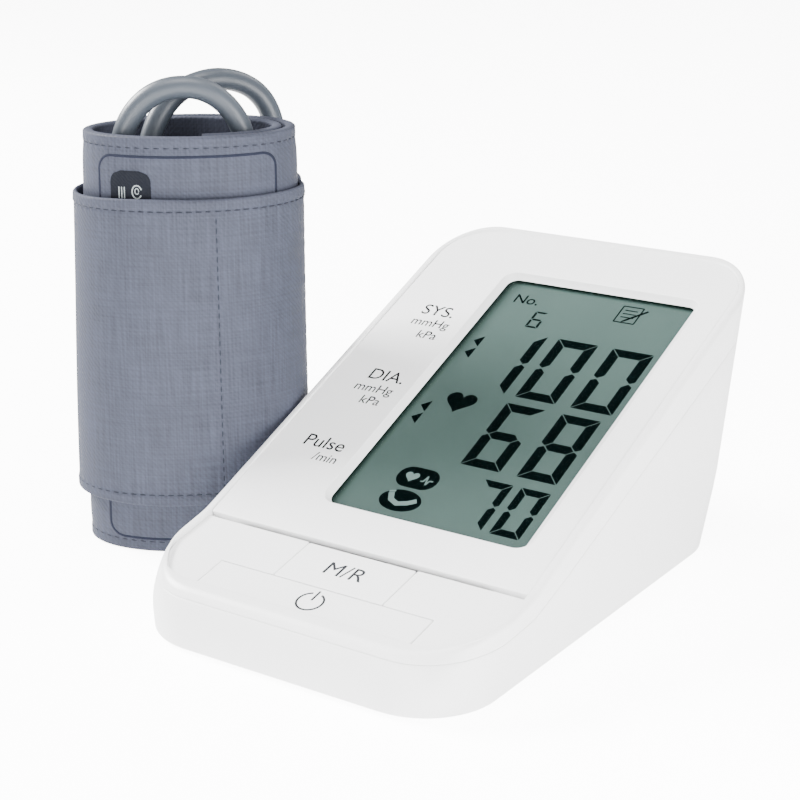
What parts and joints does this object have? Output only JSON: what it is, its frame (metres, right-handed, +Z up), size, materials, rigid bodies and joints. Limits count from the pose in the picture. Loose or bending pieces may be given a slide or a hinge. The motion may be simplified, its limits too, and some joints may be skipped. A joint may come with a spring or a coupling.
{
  "type": "upper-arm blood pressure monitor with rolled cuff",
  "caption": "Wedge-shaped desktop blood pressure monitor with a large sloping display and two keys, and its rolled upper-arm cuff with the air tube looped into the roll.",
  "frame": {"origin": "on the table, under the middle of the display unit and the rolled cuff together", "axes": "+Z up, -Y towards the user at the unit's keys, +X to the user's right; the rolled cuff stands at the unit's left, turned 41 degrees"},
  "size_m": [0.1838, 0.1871, 0.1521],
  "materials": {
    "case_white": "fine satin moulded ABS, near white",
    "face_white": "flat satin sheet, near white",
    "key_white": "satin moulded keys",
    "lens_clear": "clear acrylic",
    "lcd_glass": "grey green liquid crystal panel",
    "holder_plastic": "plain moulded",
    "strip_rubber": "soft",
    "board_green": "solder mask",
    "screw_steel": "zinc plated",
    "chip_black": "moulded epoxy",
    "dark_plastic": "moulded",
    "spring_metal": "nickel plated",
    "cell_wrap": "printed film, no lettering",
    "motor_metal": "plated can",
    "foot_rubber": "soft grey",
    "hose_rubber": "soft grey",
    "cloth_grey": "blue grey woven nylon",
    "cloth_inner": "smooth knit lining",
    "bladder_film": "welded film",
    "stiffener_sheet": "springy sheet",
    "hook_tape": "hook tape",
    "loop_tape": "loop tape",
    "label_dark": "woven label",
    "ring_metal": "bent wire",
    "tube_grey": "smooth matte elastomer",
    "plug_grey": "moulded"
  },
  "bodies": {
    "display_unit": {"top_shell": "case_white", "bottom_shell": "case_white", "face_plate": "face_white", "display_lens": "lens_clear", "display_glass": "lcd_glass", "display_holder": "holder_plastic", "contact_strip": "strip_rubber", "main_board": "board_green", "board_screws": "screw_steel", "controller_chip": "chip_black", "pressure_sensor": "chip_black", "beeper": "dark_plastic", "left_wing": "key_white", "right_wing": "key_white", "tact_switches": "dark_plastic", "key_board": "board_green", "battery_tray": "dark_plastic", "batteries": "cell_wrap", "battery_springs": "spring_metal", "battery_contacts": "spring_metal", "cover_hinge_pin": "screw_steel", "air_socket": "dark_plastic", "dc_jack": "dark_plastic", "pump_motor": "motor_metal", "pump_head": "dark_plastic", "pump_cradle": "foot_rubber", "valve_body": "dark_plastic", "manifold": "holder_plastic", "supply_hose": "hose_rubber", "pump_hose": "hose_rubber", "gauge_hose": "hose_rubber", "case_screws": "screw_steel", "rubber_feet": "foot_rubber"},
    "memory_key_body": {"memory_key": "key_white", "memory_plunger": "dark_plastic"},
    "power_key_body": {"power_key": "key_white", "power_plunger": "dark_plastic"},
    "battery_door": {"battery_cover": "case_white"},
    "pump_shaft": {"motor_shaft": "motor_metal"},
    "exhaust_plunger": {"valve_plunger": "motor_metal"},
    "cuff": {"cuff_outer_cloth": "cloth_grey", "cuff_bladder": "bladder_film", "cuff_stiffener": "stiffener_sheet", "cuff_inner_cloth": "cloth_inner", "cuff_tail": "cloth_grey", "loop_patch": "loop_tape", "size_label": "label_dark", "ring_sleeve": "cloth_grey", "tube_port": "plug_grey", "air_tube": "tube_grey", "air_plug": "plug_grey", "plug_seal": "strip_rubber"},
    "strap_end": {"tail_tab": "cloth_grey", "hook_patch": "hook_tape"},
    "cuff_ring": {"d_ring": "ring_metal"}
  },
  "joints": [
    {"name": "memory_key_press", "type": "slide", "parent": "display_unit", "child": "memory_key_body", "axis": [0, 0.2164, -0.9763], "range_m": [0, 0.0009], "stiffness_N_per_m": 900},
    {"name": "power_key_press", "type": "slide", "parent": "display_unit", "child": "power_key_body", "axis": [0, 0.2164, -0.9763], "range_m": [0, 0.0009], "stiffness_N_per_m": 900},
    {"name": "battery_door_hinge", "type": "hinge", "parent": "display_unit", "child": "battery_door", "pos_m": [0.034, 0.07054, 0.00715], "axis": [-1, 0, 0], "range_deg": [0, 75]},
    {"name": "pump_shaft_spin", "type": "hinge", "parent": "display_unit", "child": "pump_shaft", "pos_m": [0.014, 0.0201, 0.019], "axis": [1, 0, 0], "continuous": true},
    {"name": "exhaust_plunger_slide", "type": "slide", "parent": "display_unit", "child": "exhaust_plunger", "axis": [0, 1, 0], "range_m": [0, 0.0015], "stiffness_N_per_m": 200},
    {"name": "cuff_lift", "type": "slide", "parent": "display_unit", "child": "cuff", "axis": [0, 0, 1], "range_m": [0, 0.12]},
    {"name": "strap_end_peel", "type": "hinge", "parent": "cuff", "child": "strap_end", "pos_m": [-0.06715, 0.01061, 0.0669], "axis": [0, 0, -1], "range_deg": [0, 70]},
    {"name": "ring_swing", "type": "hinge", "parent": "cuff", "child": "cuff_ring", "pos_m": [-0.04669, -0.02783, 0.0715], "axis": [0, 0, -1], "range_deg": [0, 14]}
  ]
}
